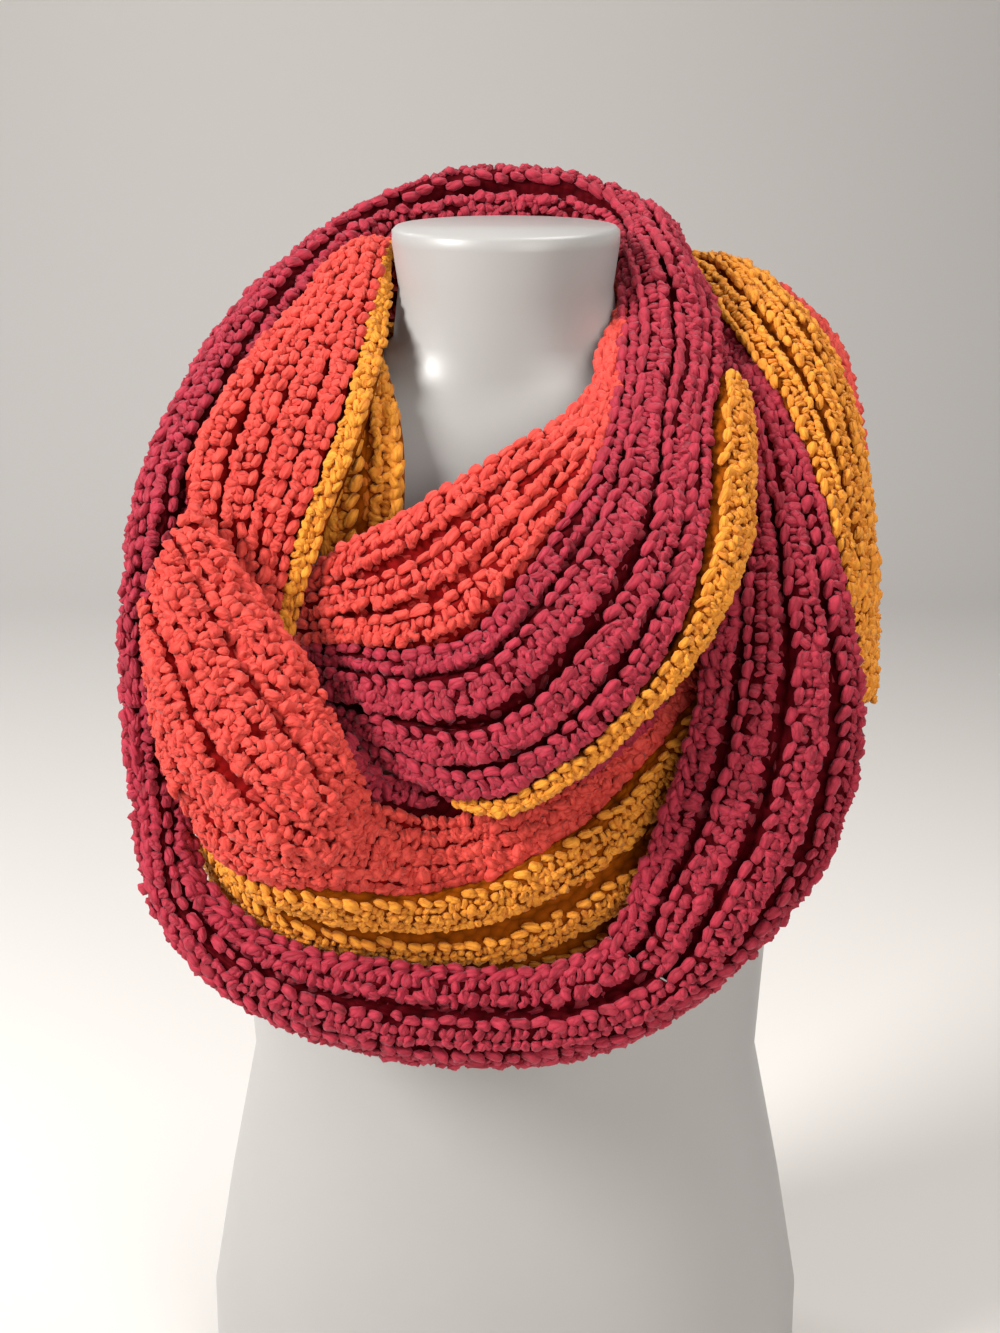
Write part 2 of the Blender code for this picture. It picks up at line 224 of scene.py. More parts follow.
# Down and across the front: orange, crimson, and a mustard edge.
FRONT = (
    Row((60, 16, 630), (74, 19, 649), (90, 24, 640), 0.06),
    Row((58, -13, 615), (79, -14, 634), (101, -9, 620), 0.10),
    Row((48, -46, 600), (86, -50, 605), (114, -52, 586), 0.12, 0.80),
    Row((42, -66, 585), (85, -86, 580), (117, -88, 555), 0.14, 0.67),
    Row((27, -84, 573), (80, -114, 556), (113, -118, 524), 0.18, 0.67),
    Row((8, -95, 565), (66, -139, 534), (102, -142, 504), 0.24, 0.76),
    Row((-13, -102, 554), (45, -157, 512), (85, -164, 480), 0.28, 0.85),
    Row((-32, -105, 543), (22, -168, 491), (61, -178, 457), 0.32, 0.89),
    Row((-50, -104, 531), (-2, -171, 472), (31, -184, 431), 0.35, 0.90),
    Row((-68, -101, 521), (-30, -162, 464), (-4, -180, 411), 0.37, 0.93),
    Row((-86, -92, 507), (-66, -134, 463), (-47, -151, 421), 0.38),
    Row((-108, -80, 490), (-101, -101, 459), (-88, -114, 425), 0.38),
)
# The hidden turn: up left of the neck, round behind it and down to the right, plain and narrow.
HIDDEN = (
    Row((-50, -84, 522), (-72, -86, 516), (-94, -82, 510)),
    Row((-50, -75, 562), (-68, -75, 558), (-86, -68, 552)),
    Row((-57, -50, 588), (-72, -47, 589), (-88, -40, 584)),
    Row((-64, -14, 600), (-78, -12, 597), (-94, -10, 590)),
    Row((-61, 22, 602), (-74, 26, 597), (-88, 32, 588)),
    Row((-41, 52, 604), (-49, 63, 592), (-57, 74, 576)),
    Row((0, 67, 603), (0, 78, 588), (0, 88, 570)),
    Row((41, 52, 604), (49, 63, 592), (57, 74, 576)),
    Row((62, 24, 602), (75, 29, 597), (88, 34, 589)),
    Row((65, -12, 600), (79, -11, 597), (94, -8, 590)),
    Row((60, -46, 589), (76, -44, 587), (91, -40, 582)),
    Row((60, -72, 562), (80, -70, 557), (96, -66, 550)),
    Row((84, -81, 528), (102, -79, 520), (116, -74, 510)),
)
# Under the front and the outer turn: crimson, orange and mustard, to the fold on the left.
LOWER = (
    Row((110, -83, 506), (130, -90, 482), (146, -78, 455), 0.0, 0.05),
    Row((104, -94, 476), (124, -99, 440), (138, -90, 408), 0.0, 0.06),
    Row((84, -109, 452), (104, -117, 412), (119, -106, 372), 0.03, 0.10),
    Row((58, -121, 432), (77, -128, 386), (91, -118, 344), 0.07, 0.16),
    Row((28, -130, 418), (40, -145, 368), (51, -129, 323), 0.12, 0.26),
    Row((-5, -129, 427), (-3, -159, 364), (6, -136, 311), 0.22, 0.42),
    Row((-35, -132, 416), (-42, -167, 364), (-54, -125, 310), 0.20, 0.46),
    Row((-60, -150, 413), (-84, -179, 379), (-111, -112, 315), 0.12, 0.52),
    Row((-78, -151, 438), (-109, -182, 402), (-144, -105, 351), 0.05, 0.72),
    Row((-96, -141, 466), (-127, -177, 431), (-148, -107, 390), 0.0, 0.90),
    Row((-115, -130, 492), (-141, -165, 458), (-146, -148, 407), 0.0),
    Row((-134, -119, 516), (-153, -150, 483), (-152, -145, 430), 0.0),
    Row((-150, -108, 536), (-160, -134, 504), (-156, -140, 453), 0.0),
)
UPPER_TURNS = LEFT_PANEL + BACK + RIGHT + BOTTOM + LEFT + COLLAR + FRONT

# Row numbers where one stretch of the upper turns hands over to the next.
TO_BACK = len(LEFT_PANEL)
TO_RIGHT = TO_BACK + len(BACK)
TO_BOTTOM = TO_RIGHT + len(RIGHT)
TO_LEFT = TO_BOTTOM + len(BOTTOM)
TO_COLLAR = TO_LEFT + len(LEFT)
TO_FRONT = TO_COLLAR + len(COLLAR)
FRONT_END = TO_FRONT + len(FRONT) - 1

UPPER_STRIPES = (
    Stripe("left_panel_mustard", Yarn.MUSTARD, 0, TO_BACK, (0, "second"), (1,), GAUGE_MUSTARD),
    Stripe("left_panel_orange", Yarn.ORANGE, 0, TO_BACK, OUTER, (23, 24, 26, 27)),
    Stripe("back_crimson", Yarn.CRIMSON, TO_BACK + 1, TO_RIGHT, INNER, (1,)),
    Stripe("back_mustard", Yarn.MUSTARD, TO_BACK, TO_RIGHT, MIDDLE, (1, 1, 1), GAUGE_MUSTARD),
    Stripe("back_orange", Yarn.ORANGE, TO_BACK, TO_RIGHT, OUTER, (1, 1, 1)),
    Stripe("right_crimson", Yarn.CRIMSON, TO_RIGHT, TO_BOTTOM, INNER, (20, 26, 30, 24)),
    Stripe("right_mustard", Yarn.MUSTARD, TO_RIGHT, TO_RIGHT + 5, MIDDLE, (34, 34, 32), GAUGE_MUSTARD),
    Stripe("right_orange", Yarn.ORANGE, TO_RIGHT, TO_RIGHT + 3, OUTER, (1,)),
    Stripe("bottom_crimson", Yarn.CRIMSON, TO_BOTTOM, TO_LEFT, WHOLE, (38, 34, 28)),
    Stripe("left_crimson", Yarn.CRIMSON, TO_LEFT, TO_COLLAR, WHOLE, (38, 34, 28)),
    Stripe("collar_crimson", Yarn.CRIMSON, TO_COLLAR, TO_FRONT, WHOLE, (30, 34, 36)),
    Stripe("front_orange", Yarn.ORANGE, TO_FRONT, FRONT_END, INNER, (32, 34, 34)),
    Stripe("front_crimson", Yarn.CRIMSON, TO_FRONT, FRONT_END, MIDDLE, (16, 34, 27, 23)),
    Stripe("front_mustard", Yarn.MUSTARD, TO_FRONT + 2.2, FRONT_END - 1.6, OUTER, (1,), GAUGE_MUSTARD),
)
HIDDEN_STRIPES = (Stripe("hidden_mustard", Yarn.MUSTARD, 0, len(HIDDEN) - 1, WHOLE, ()),)
LOWER_STRIPES = (
    Stripe("lower_crimson", Yarn.CRIMSON, 2.5, 8, INNER, (1,)),
    Stripe("lower_orange", Yarn.ORANGE, 0, 12, MIDDLE, (22, 28, 27, 23), 1.04, 1.28),
    Stripe("lower_mustard", Yarn.MUSTARD, 0, 8.6, OUTER, (39, 32, 29), GAUGE_MUSTARD, 1.04),
)

FORM_RINGS = (
    Ring(0, 160, 100, 98, 2.3),
    Ring(6, 168, 106, 104, 2.3),
    Ring(60, 168, 106, 104, 2.3),
    Ring(130, 156, 98, 92, 2.3),
    Ring(210, 140, 90, 82, 2.3),
    Ring(280, 144, 94, 84, 2.3),
    Ring(350, 154, 110, 90, 2.3),
    Ring(410, 162, 112, 94, 2.4),
    Ring(460, 172, 100, 96, 2.5),
    Ring(505, 182, 80, 94, 2.5),
    Ring(532, 187, 72, 88, 2.5),
    Ring(551, 181, 66, 82, 2.4),
    Ring(564, 156, 61, 77, 2.3),
    Ring(574, 124, 57, 72, 2.2),
    Ring(582, 95, 54, 66, 2.1),
    Ring(591, 71, 53, 59, 2.0),
    Ring(604, 58, 53, 55, 2.0),
    Ring(630, 55, 54, 54, 2.0),
    Ring(652, 58, 58, 58, 2.0),
    Ring(658, 58, 58, 58, 2.0),
    Ring(660, 56, 56, 56, 2.0),
)


# ---------------------------------------------------------------- objects, nodes and materials


def finished(
    mesh: bmesh.types.BMesh,
    name: str,
    material: bpy.types.Material | None = None,
    collection: bpy.types.Collection | None = None,
) -> bpy.types.Object:
    """Makes a smooth object of a bmesh, and frees the bmesh.

    Args:
        mesh: the whole shape.
        name: name of the object and of its mesh.
        material: its material, where it has one of its own.
        collection: where it goes, if not straight into the scene.

    Returns:
        The object.
    """
    for face in mesh.faces:
        face.smooth = True
    data = bpy.data.meshes.new(name)
    mesh.to_mesh(data)
    mesh.free()
    if material:
        data.materials.append(material)
    made = bpy.data.objects.new(name, data)
    (collection or bpy.context.scene.collection).objects.link(made)
    return made


@dataclass
class Graph:
    """A node tree being built, with short ways to add nodes and feed their inputs."""

    tree: bpy.types.NodeTree

    def feed(self, target: bpy.types.NodeSocket, value: object) -> None:
        """Joins an output to an input, or gives the input a value.

        Args:
            target: the input.
            value: an output, a colour without its alpha, or any other value.
        """
        if isinstance(value, bpy.types.NodeSocket):
            self.tree.links.new(value, target)
        elif target.type == "RGBA":
            target.default_value = (*value, 1.0)
        else:
            target.default_value = value

    def fill(self, node: bpy.types.Node, inputs: dict[str | int, object]) -> None:
        """Feeds inputs of a node, by name or number."""
        for name, value in inputs.items():
            self.feed(node.inputs[name], value)

    def add(
        self, kind: str, inputs: dict[str | int, object] | None = None, **settings: object
    ) -> bpy.types.Node:
        """A new node.

        Args:
            kind: a shader node's type without its prefix, or another node's whole type.
            inputs: what its inputs are fed, by name or number.
            settings: its attributes.

        Returns:
            The node.
        """
        node = self.tree.nodes.new(kind if "Node" in kind else "ShaderNode" + kind)
        for name, value in settings.items():
            setattr(node, name, value)
        self.fill(node, inputs or {})
        return node

    def math(self, operation: str, first: object, second: object) -> bpy.types.NodeSocket:
        """The result of an operation on two numbers or sockets."""
        return self.add("Math", {0: first, 1: second}, operation=operation).outputs[0]

    def mix(self, share: object, first: object, second: object) -> bpy.types.NodeSocket:
        """A colour between two colours, by a share of the second."""
        return self.add("Mix", {0: share, 6: first, 7: second}, data_type="RGBA").outputs[2]

    def bump(
        self, shader: bpy.types.Node, height: bpy.types.NodeSocket, depth: float, strength: float
    ) -> None:
        """Raises a shader's surface.

        Args:
            shader: the Principled node.
            height: the pattern's height.
            depth: mm from its lowest to its highest.
            strength: how much of it shows.
        """
        relief = self.add("Bump", {"Height": height, "Distance": depth * MM, "Strength": strength})
        self.feed(shader.inputs["Normal"], relief.outputs[0])


def new_group(
    name: str, tree: str, kind: str, inputs: dict[str, object], outputs: tuple[str, ...]
) -> tuple[Graph, bpy.types.Node, bpy.types.Node]:
    """A new node group.

    Args:
        name: its name.
        tree: type of its tree.
        kind: type of its sockets.
        inputs: its inputs, with their values.
        outputs: its outputs.

    Returns:
        Its graph, its input node and its output node.
    """
    made = bpy.data.node_groups.new(name, tree)
    for label, value in inputs.items():
        entry = made.interface.new_socket(name=label, in_out="INPUT", socket_type=kind)
        if value is not None:
            entry.default_value = value
    for label in outputs:
        made.interface.new_socket(name=label, in_out="OUTPUT", socket_type=kind)
    graph = Graph(made)
    return graph, graph.add("NodeGroupInput"), graph.add("NodeGroupOutput")


def new_material(name: str, colour: Triple) -> tuple[bpy.types.Material, Graph, bpy.types.Node]:
    """A new material.

    Args:
        name: its name.
        colour: its colour in a plain view.

    Returns:
        The material, its graph and its Principled node.
    """
    made = bpy.data.materials.new(name)
    made.use_nodes = True
    made.diffuse_color = (*colour, 1.0)
    return made, Graph(made.node_tree), made.node_tree.nodes["Principled BSDF"]


# ---------------------------------------------------------------- the band's surface


def unit(vectors: np.ndarray) -> np.ndarray:
    """The vectors of an (n, 3) array at length one."""
    return vectors / np.maximum(np.linalg.norm(vectors, axis=1, keepdims=True), 1e-9)


@dataclass
class Band:
    """A run of the scarf through its rows, as a smooth surface in mm.

    Places on it are given by a fractional row number and a share of its width from inner to outer.
    """

    rows: tuple[Row, ...]
    table: np.ndarray = field(init=False, repr=False)

    def __post_init__(self) -> None:
        """Keeps the rows as numbers, with the end rows repeated for the curve."""
        numbers = [(*row.inner, *row.crown, *row.outer, row.first, row.second) for row in self.rows]
        self.table = np.array([numbers[0], *numbers, numbers[-1]], float)

    def sections(self, at: np.ndarray) -> np.ndarray:
        """The rows' eleven numbers at fractional row numbers, on smooth curves through the table.

        Args:
            at: fractional row numbers, (n,).

        Returns:
            Inner, crown and outer points and the two cuts, (n, 11).
        """
        index = np.clip(at.astype(int), 0, len(self.rows) - 2)
        before, start, end, after = (self.table[index + step] for step in range(4))
        share = (at - index)[:, None]
        return 0.5 * (
            2 * start
            + (end - before) * share
            + (2 * before - 5 * start + 4 * end - after) * share**2
            + (3 * start - before - 3 * end + after) * share**3
        )

    def middle(self, at: np.ndarray, share: np.ndarray) -> np.ndarray:
        """Points of the middle surface, on the arc through each section's three points.

        Args:
            at: fractional row numbers, (n,).
            share: shares of the width, (n,).

        Returns:
            Points in mm, (n, 3).
        """
        found, share = self.sections(at), share[:, None]
        return (
            found[:, 0:3] * (2 * share - 1) * (share - 1)
            + found[:, 3:6] * 4 * share * (1 - share)
            + found[:, 6:9] * share * (2 * share - 1)
        )

    def axes(self, at: np.ndarray, share: np.ndarray) -> tuple[np.ndarray, np.ndarray, np.ndarray]:
        """Unit vectors along the band, across it and out of its ribbed side.

        Args:
            at: fractional row numbers, (n,).
            share: shares of the width, (n,).

        Returns:
            Along, over and out, each (n, 3).
        """
        reach = 0.02
        along = unit(self.middle(at + reach, share) - self.middle(at - reach, share))
        over = self.middle(at, share + reach) - self.middle(at, share - reach)
        out = unit(np.cross(along, over))
        return along, np.cross(out, along), out

    def width(self, at: np.ndarray) -> np.ndarray:
        """Width in mm, (n,), along the two chords of each section."""
        found = self.sections(at)
        inner, crown, outer = found[:, 0:3], found[:, 3:6], found[:, 6:9]
        return np.linalg.norm(crown - inner, axis=1) + np.linalg.norm(outer - crown, axis=1)

    def cut(self, at: np.ndarray, edge: float | str) -> np.ndarray:
        """Share of the width, (n,), at which a stripe's edge lies: a named cut, or an edge of the band."""
        if isinstance(edge, str):
            return self.sections(at)[:, 9 if edge == "first" else 10]
        return np.full(len(at), float(edge))


# ---------------------------------------------------------------- the shapes of single loops


class Loop(Enum):
    """The shapes that a loop of yarn takes, by the start of their objects' names."""

    LINK = "a_link"
    POST = "b_post"
    PUFF = "c_puff"


@dataclass(frozen=True)
class LoopShape:
    """How one kind of loop is shaped, as shares of its length, width and height."""

    loop: Loop
    taper: float  # how much wider the leading end is than the tail
    bend: float  # sideways bow of the middle
    arch: float  # how far the ends dip into the cloth
    blunt: float  # fullness of the ends
    crease: float  # depth of the fold that runs along it
    waist: float  # how far every second variant is drawn in at its middle
    lumps: float  # uneven swelling
    segments: int
    rings: int
    variant_turn: float = 1.7  # radians about its length from one variant to the next
    variant_apart: float = 3.1  # from one variant's lumps to the next one's
    lumps_along: float = 2.9  # scale of the lumps over a loop's length

    def make(self, collection: bpy.types.Collection, seed: int) -> None:
        """Adds the variants of this loop to a collection, each one unit long and wide.

        Args:
            collection: receives one object a variant.
            seed: offsets the uneven swelling.
        """
        for number in range(VARIANTS):
            mesh = bmesh.new()
            mesh.loops.layers.uv.new("UVMap")
            bmesh.ops.create_uvsphere(
                mesh, u_segments=self.segments, v_segments=self.rings, radius=0.5, calc_uvs=True
            )
            for angle, axis in ((radians(90), "Y"), (number * self.variant_turn, "X")):
                bmesh.ops.rotate(mesh, verts=mesh.verts, matrix=Matrix.Rotation(angle, 3, axis))
            side = 1 if number % 2 else -1
            for vert in mesh.verts:
                at = vert.co.x  # from -0.5 at the tail to 0.5 at the leading end
                swell = (1 + self.taper * at * 2) * (1 + self.blunt * 4 * at * at)
                swell *= 1 - self.crease * max(0.0, sin(3 * at + number) * vert.co.z * 2)
                swell *= 1 - self.waist * (number % 2) * max(0.0, 1 - abs(at) * 5)
                vert.co.y *= swell
                vert.co.z *= swell
                vert.co.y += side * self.bend * (0.25 - at * at)
                vert.co.z -= self.arch * 4 * at * at
                place = vert.co * self.lumps_along + Vector((seed, number * self.variant_apart, 0))
                vert.co += self.lumps * noise.noise_vector(place)
            finished(mesh, f"{self.loop.value}_{number}", collection=collection)


LOOP_SHAPES = (
    LoopShape(
        Loop.LINK, taper=-0.15, bend=0.22, arch=0.15, blunt=0.32, crease=0.30, waist=0.0, lumps=0.13,
        segments=8, rings=6,
    ),
    LoopShape(
        Loop.POST, taper=0.20, bend=0.25, arch=0.15, blunt=0.35, crease=0.40, waist=0.2, lumps=0.20,
        segments=6, rings=4,
    ),
    LoopShape(
        Loop.PUFF, taper=0.10, bend=0.20, arch=0.12, blunt=0.20, crease=0.40, waist=0.32, lumps=0.26,
        segments=7, rings=6,
    ),
)


@dataclass(frozen=True)
class Recipe:
    """How the loops of one row lie: sizes in mm, angles in degrees from the rib's direction."""

    loop: Loop
    count: int  # loops in a stitch
    length: float
    width: float
    height: float
    angle: float
    loose: float  # how far the angle strays
    lift: float  # mm above the shell's surface
    apart: float = 0.0  # from one loop of the stitch to the next
    shade: float = 0.0  # painted shade on the loop's colour: 0 in the open, 1 deep in a valley


class Place(Enum):
    """The rows of loops across a rib, and the two rows of the braid along a free edge."""

    CHAIN = Recipe(Loop.LINK, 1, 9.2, 5.5, 5.4, -14, 9, 1.8)
    NECK = Recipe(Loop.POST, 2, 6.8, 4.8, 4.4, 78, 28, 0.5, 3.8, 0.2)
    PUFF = Recipe(Loop.PUFF, 2, 6.4, 5.3, 5.0, 66, 50, 1.0, 4.0, 0.12)
    BOBBLE = Recipe(Loop.PUFF, 2, 7.0, 5.9, 5.9, 55, 55, 1.8, 4.2)
    UNDER = Recipe(Loop.POST, 1, 8.8, 5.6, 3.8, 15, 25, -1.2, 0.0, 0.95)
    VALLEY = Recipe(Loop.POST, 1, 8.6, 5.0, 3.8, 10, 25, -1.7, 0.0, 1.0)
    RIM = Recipe(Loop.LINK, 1, 10.6, 5.0, 5.2, -20, 5, 0.0)
    BRAID = Recipe(Loop.LINK, 1, 10.6, 5.0, 5.2, 20, 5, 0.8)


# ---------------------------------------------------------------- finishes


def yarn_group() -> bpy.types.NodeTree:
    """Folds and fine fibres along each loop of yarn, shared by the three yarns.

    Returns:
        The group: a number of the loop's own in; creases, fibres, a height and the dye's unevenness out. The
            creases and fibres also mask painted shade.
    """
    outputs = ("Crease", "Streak", "Height", "Dye")
    graph, given, result = new_group(
        "yarn folds", "ShaderNodeTree", "NodeSocketFloat", {"Offset": 0.0}, outputs
    )
    where = graph.add("TexCoord")
    parts = graph.add("SeparateXYZ", {0: where.outputs["UV"]})
    apart = graph.math("MULTIPLY", given.outputs["Offset"], 37.0)
    fields = []
    for around, along, twist in ((5.0, 2.0, 1.0), (16.0, 1.6, 3.0)):
        turned = graph.math("MULTIPLY", parts.outputs[1], twist)
        place = {
            0: graph.math("ADD", graph.math("MULTIPLY", parts.outputs[0], around), turned),
            1: graph.math("MULTIPLY", parts.outputs[1], along),
            2: apart,
        }
        fields.append(graph.add("CombineXYZ", place).outputs[0])
    folds = graph.add("TexVoronoi", {"Vector": fields[0], "Scale": 1.0}, feature="F1")
    streaks = graph.add("TexNoise", {"Vector": fields[1], "Scale": 1.0, "Detail": 2.0})
    dye = graph.add("TexNoise", {"Vector": where.outputs["Object"], "Scale": 45.0, "Detail": 1.0})
    crease = graph.math("POWER", graph.math("MINIMUM", folds.outputs["Distance"], 1.0), 2.0)
    fine = graph.math("MULTIPLY", streaks.outputs["Fac"], 0.35)
    found = {
        "Crease": crease,
        "Streak": streaks.outputs["Fac"],
        "Height": graph.math("SUBTRACT", fine, crease),
        "Dye": dye.outputs["Fac"],
    }
    graph.fill(result, found)
    return graph.tree


def ground_group() -> bpy.types.NodeTree:
    """The cloth between and behind the loops: small crossing strands, shared by the three yarns.

    Returns:
        The group: a gap mask, which places painted shadow between the strands, and a height out, from UV in
            mm.
    """
    graph, given, result = new_group(
        "crochet ground", "ShaderNodeTree", "NodeSocketFloat", {"Scale": 0.22}, ("Gap", "Height")
    )
    where = graph.add("TexCoord")
    stretch = graph.add("Mapping", {"Vector": where.outputs["UV"], "Scale": (0.75, 1.25, 1.0)})
    place = {"Vector": stretch.outputs[0], "Scale": given.outputs["Scale"]}
    cells = graph.add("TexVoronoi", place, feature="F1", voronoi_dimensions="2D")
    distance = cells.outputs["Distance"]
    gap, height = graph.math("POWER", distance, 1.6), graph.math("SUBTRACT", 1.0, distance)
    graph.fill(result, {"Gap": gap, "Height": height})
    return graph.tree


@dataclass(frozen=True)
class YarnFinish:
    """The finish of one yarn: its colour, a darker copy of it painted as shade in valleys, folds and gaps,
    and how it shines.
    """

    yarn: Yarn
    colour: Triple
    # painted shade: the colour the loops darken to in valleys, creases and strand grooves, and the base of
    # the shell's colour between the loops
    shaded_colour: Triple
    glow: Triple
    sheen: float = 0.14
    roughness: float = 0.72
    relief: float = 0.8  # how strongly the pattern's height shows

    def shader(self, part: str) -> tuple[bpy.types.Material, Graph, bpy.types.Node]:
        """A new material with what the yarn's two materials share.

        Args:
            part: what it is for.

        Returns:
            The material, its graph and its Principled node.
        """
        made, graph, shader = new_material(f"{self.yarn.value}_{part}", self.colour)
        graph.fill(shader, {"Sheen Roughness": 0.4, "Sheen Tint": self.glow})
        return made, graph, shader

    def stitches(self, fibres: bpy.types.NodeTree) -> bpy.types.Material:
        """The material of the loops, with painted shade in their valleys, creases and strand grooves.

        Args:
            fibres: the shared group of folds and fibres.

        Returns:
            The material.
        """
        made, graph, shader = self.shader("loops")
        hue = graph.add("Attribute", attribute_name="hue")
        shade = graph.add("Attribute", attribute_name="shade")
        effect = graph.add("Group", node_tree=fibres)
        graph.fill(effect, {"Offset": hue.outputs["Fac"]})
        spread = graph.math("MULTIPLY", hue.outputs["Fac"], effect.outputs["Dye"])
        lighter = tuple(min(1.0, channel * 1.25 + 0.01) for channel in self.colour)
        # Painted shade: the loop's shade darkens it towards the shaded colour, random dye then lightens it,
        # and the streaks and creases darken it again as painted shade in the strand grooves and folds.
        tone = graph.mix(shade.outputs["Fac"], self.colour, self.shaded_colour)
        tone = graph.mix(graph.math("MULTIPLY", spread, 0.7), tone, lighter)
        for name, share in (("Streak", 0.3), ("Crease", 0.8)):
            tone = graph.mix(graph.math("MULTIPLY", effect.outputs[name], share), tone, self.shaded_colour)
        rough = graph.math("MULTIPLY", effect.outputs["Streak"], 0.25)
        surface = {
            "Base Color": tone,
            "Roughness": graph.math("ADD", rough, self.roughness - 0.12),
            "Specular IOR Level": 0.38,
            "Sheen Weight": self.sheen,
        }
        graph.fill(shader, surface)
        graph.bump(shader, effect.outputs["Height"], 1.6, self.relief)
        return made

    def ground(self, cells: bpy.types.NodeTree) -> bpy.types.Material:
        """The material of the shell under the loops, painted in the yarn's shaded colour as painted shade,
        and darker still as painted shadow in the gaps between its strands.

        Args:
            cells: the shared group of crossing strands.

        Returns:
            The material.
        """
        made, graph, shader = self.shader("ground")
        effect = graph.add("Group", node_tree=cells)
        # Painted shade: the shell shows only between the loops, so it takes a share of the shaded colour,
        # and a smaller share in the gaps.
        shaded_strand, shadow = (tuple(channel * share for channel in self.shaded_colour) for share in (0.60, 0.15))
        rough = graph.math("MULTIPLY", effect.outputs["Gap"], 0.2)
        surface = {
            "Base Color": graph.mix(effect.outputs["Gap"], shaded_strand, shadow),
            "Roughness": graph.math("ADD", rough, self.roughness),
            "Specular IOR Level": 0.05,
        }
        graph.fill(shader, surface)
        graph.bump(shader, effect.outputs["Height"], 2.0, self.relief)
        return made


YARN_FINISHES = (
    # Each yarn: its colour, its darker colour painted as shade, and its sheen tint.
    YarnFinish(Yarn.CRIMSON, (0.455, 0.020, 0.050), (0.130, 0.001, 0.005), (0.95, 0.52, 0.62)),
    YarnFinish(Yarn.ORANGE, (0.735, 0.074, 0.050), (0.380, 0.006, 0.006), (1.00, 0.66, 0.62)),
    YarnFinish(Yarn.MUSTARD, (0.800, 0.325, 0.022), (0.500, 0.110, 0.002), (1.00, 0.86, 0.58)),
)


@dataclass(frozen=True)
class PlasticFinish:
    """Glossy white moulded plastic."""

    slot: str = "white_plastic"
    colour: Triple = (0.39, 0.38, 0.37)
    worn: Triple = (0.31, 0.30, 0.29)

    def material(self) -> bpy.types.Material:
        """The plastic, with faint mottling and a soft gloss."""
        made, graph, shader = new_material(self.slot + "_gloss", self.colour)
        where = graph.add("TexCoord").outputs["Object"]
        mottle = graph.add("TexNoise", {"Vector": where, "Scale": 9.0, "Detail": 3.0}).outputs["Fac"]
        grain = graph.add("TexNoise", {"Vector": where, "Scale": 60.0}).outputs["Fac"]
        surface = {
            "Base Color": graph.mix(graph.math("MULTIPLY", mottle, 0.35), self.colour, self.worn),
            "Roughness": graph.math("ADD", graph.math("MULTIPLY", mottle, 0.12), 0.34),
            "Coat Weight": 0.12,
            "Coat Roughness": 0.30,
            "Subsurface Weight": 0.08,
            "Subsurface Radius": (0.01, 0.01, 0.01),
        }
        graph.fill(shader, surface)
        graph.bump(shader, grain, 0.3, 0.25)
        return made


# ---------------------------------------------------------------- the scarf


@dataclass
class Loops:
    """Loops of yarn waiting to be laid, one entry a loop in each list."""

    at: list[float] = field(default_factory=list)
    side: list[float] = field(default_factory=list)
    place: list[Place] = field(default_factory=list)
    angle: list[float] = field(default_factory=list)
    scale: list[float] = field(default_factory=list)

    def add(self, at: float, side: float, place: Place, chance: np.random.Generator) -> None:
        """Lays one loop at a row number and a share of the stripe's width, with its own slant and size."""
        recipe = place.value
        self.at.append(at)
        self.side.append(side)
        self.place.append(place)
        self.angle.append(radians(recipe.angle + recipe.loose * chance.normal()))
        self.scale.append(1 + UNEVEN_SIZE * chance.normal())

    def numbers(self, name: str) -> np.ndarray:
        """One number of every loop's recipe, (n,)."""
        return np.array([getattr(place.value, name) for place in self.place], float)


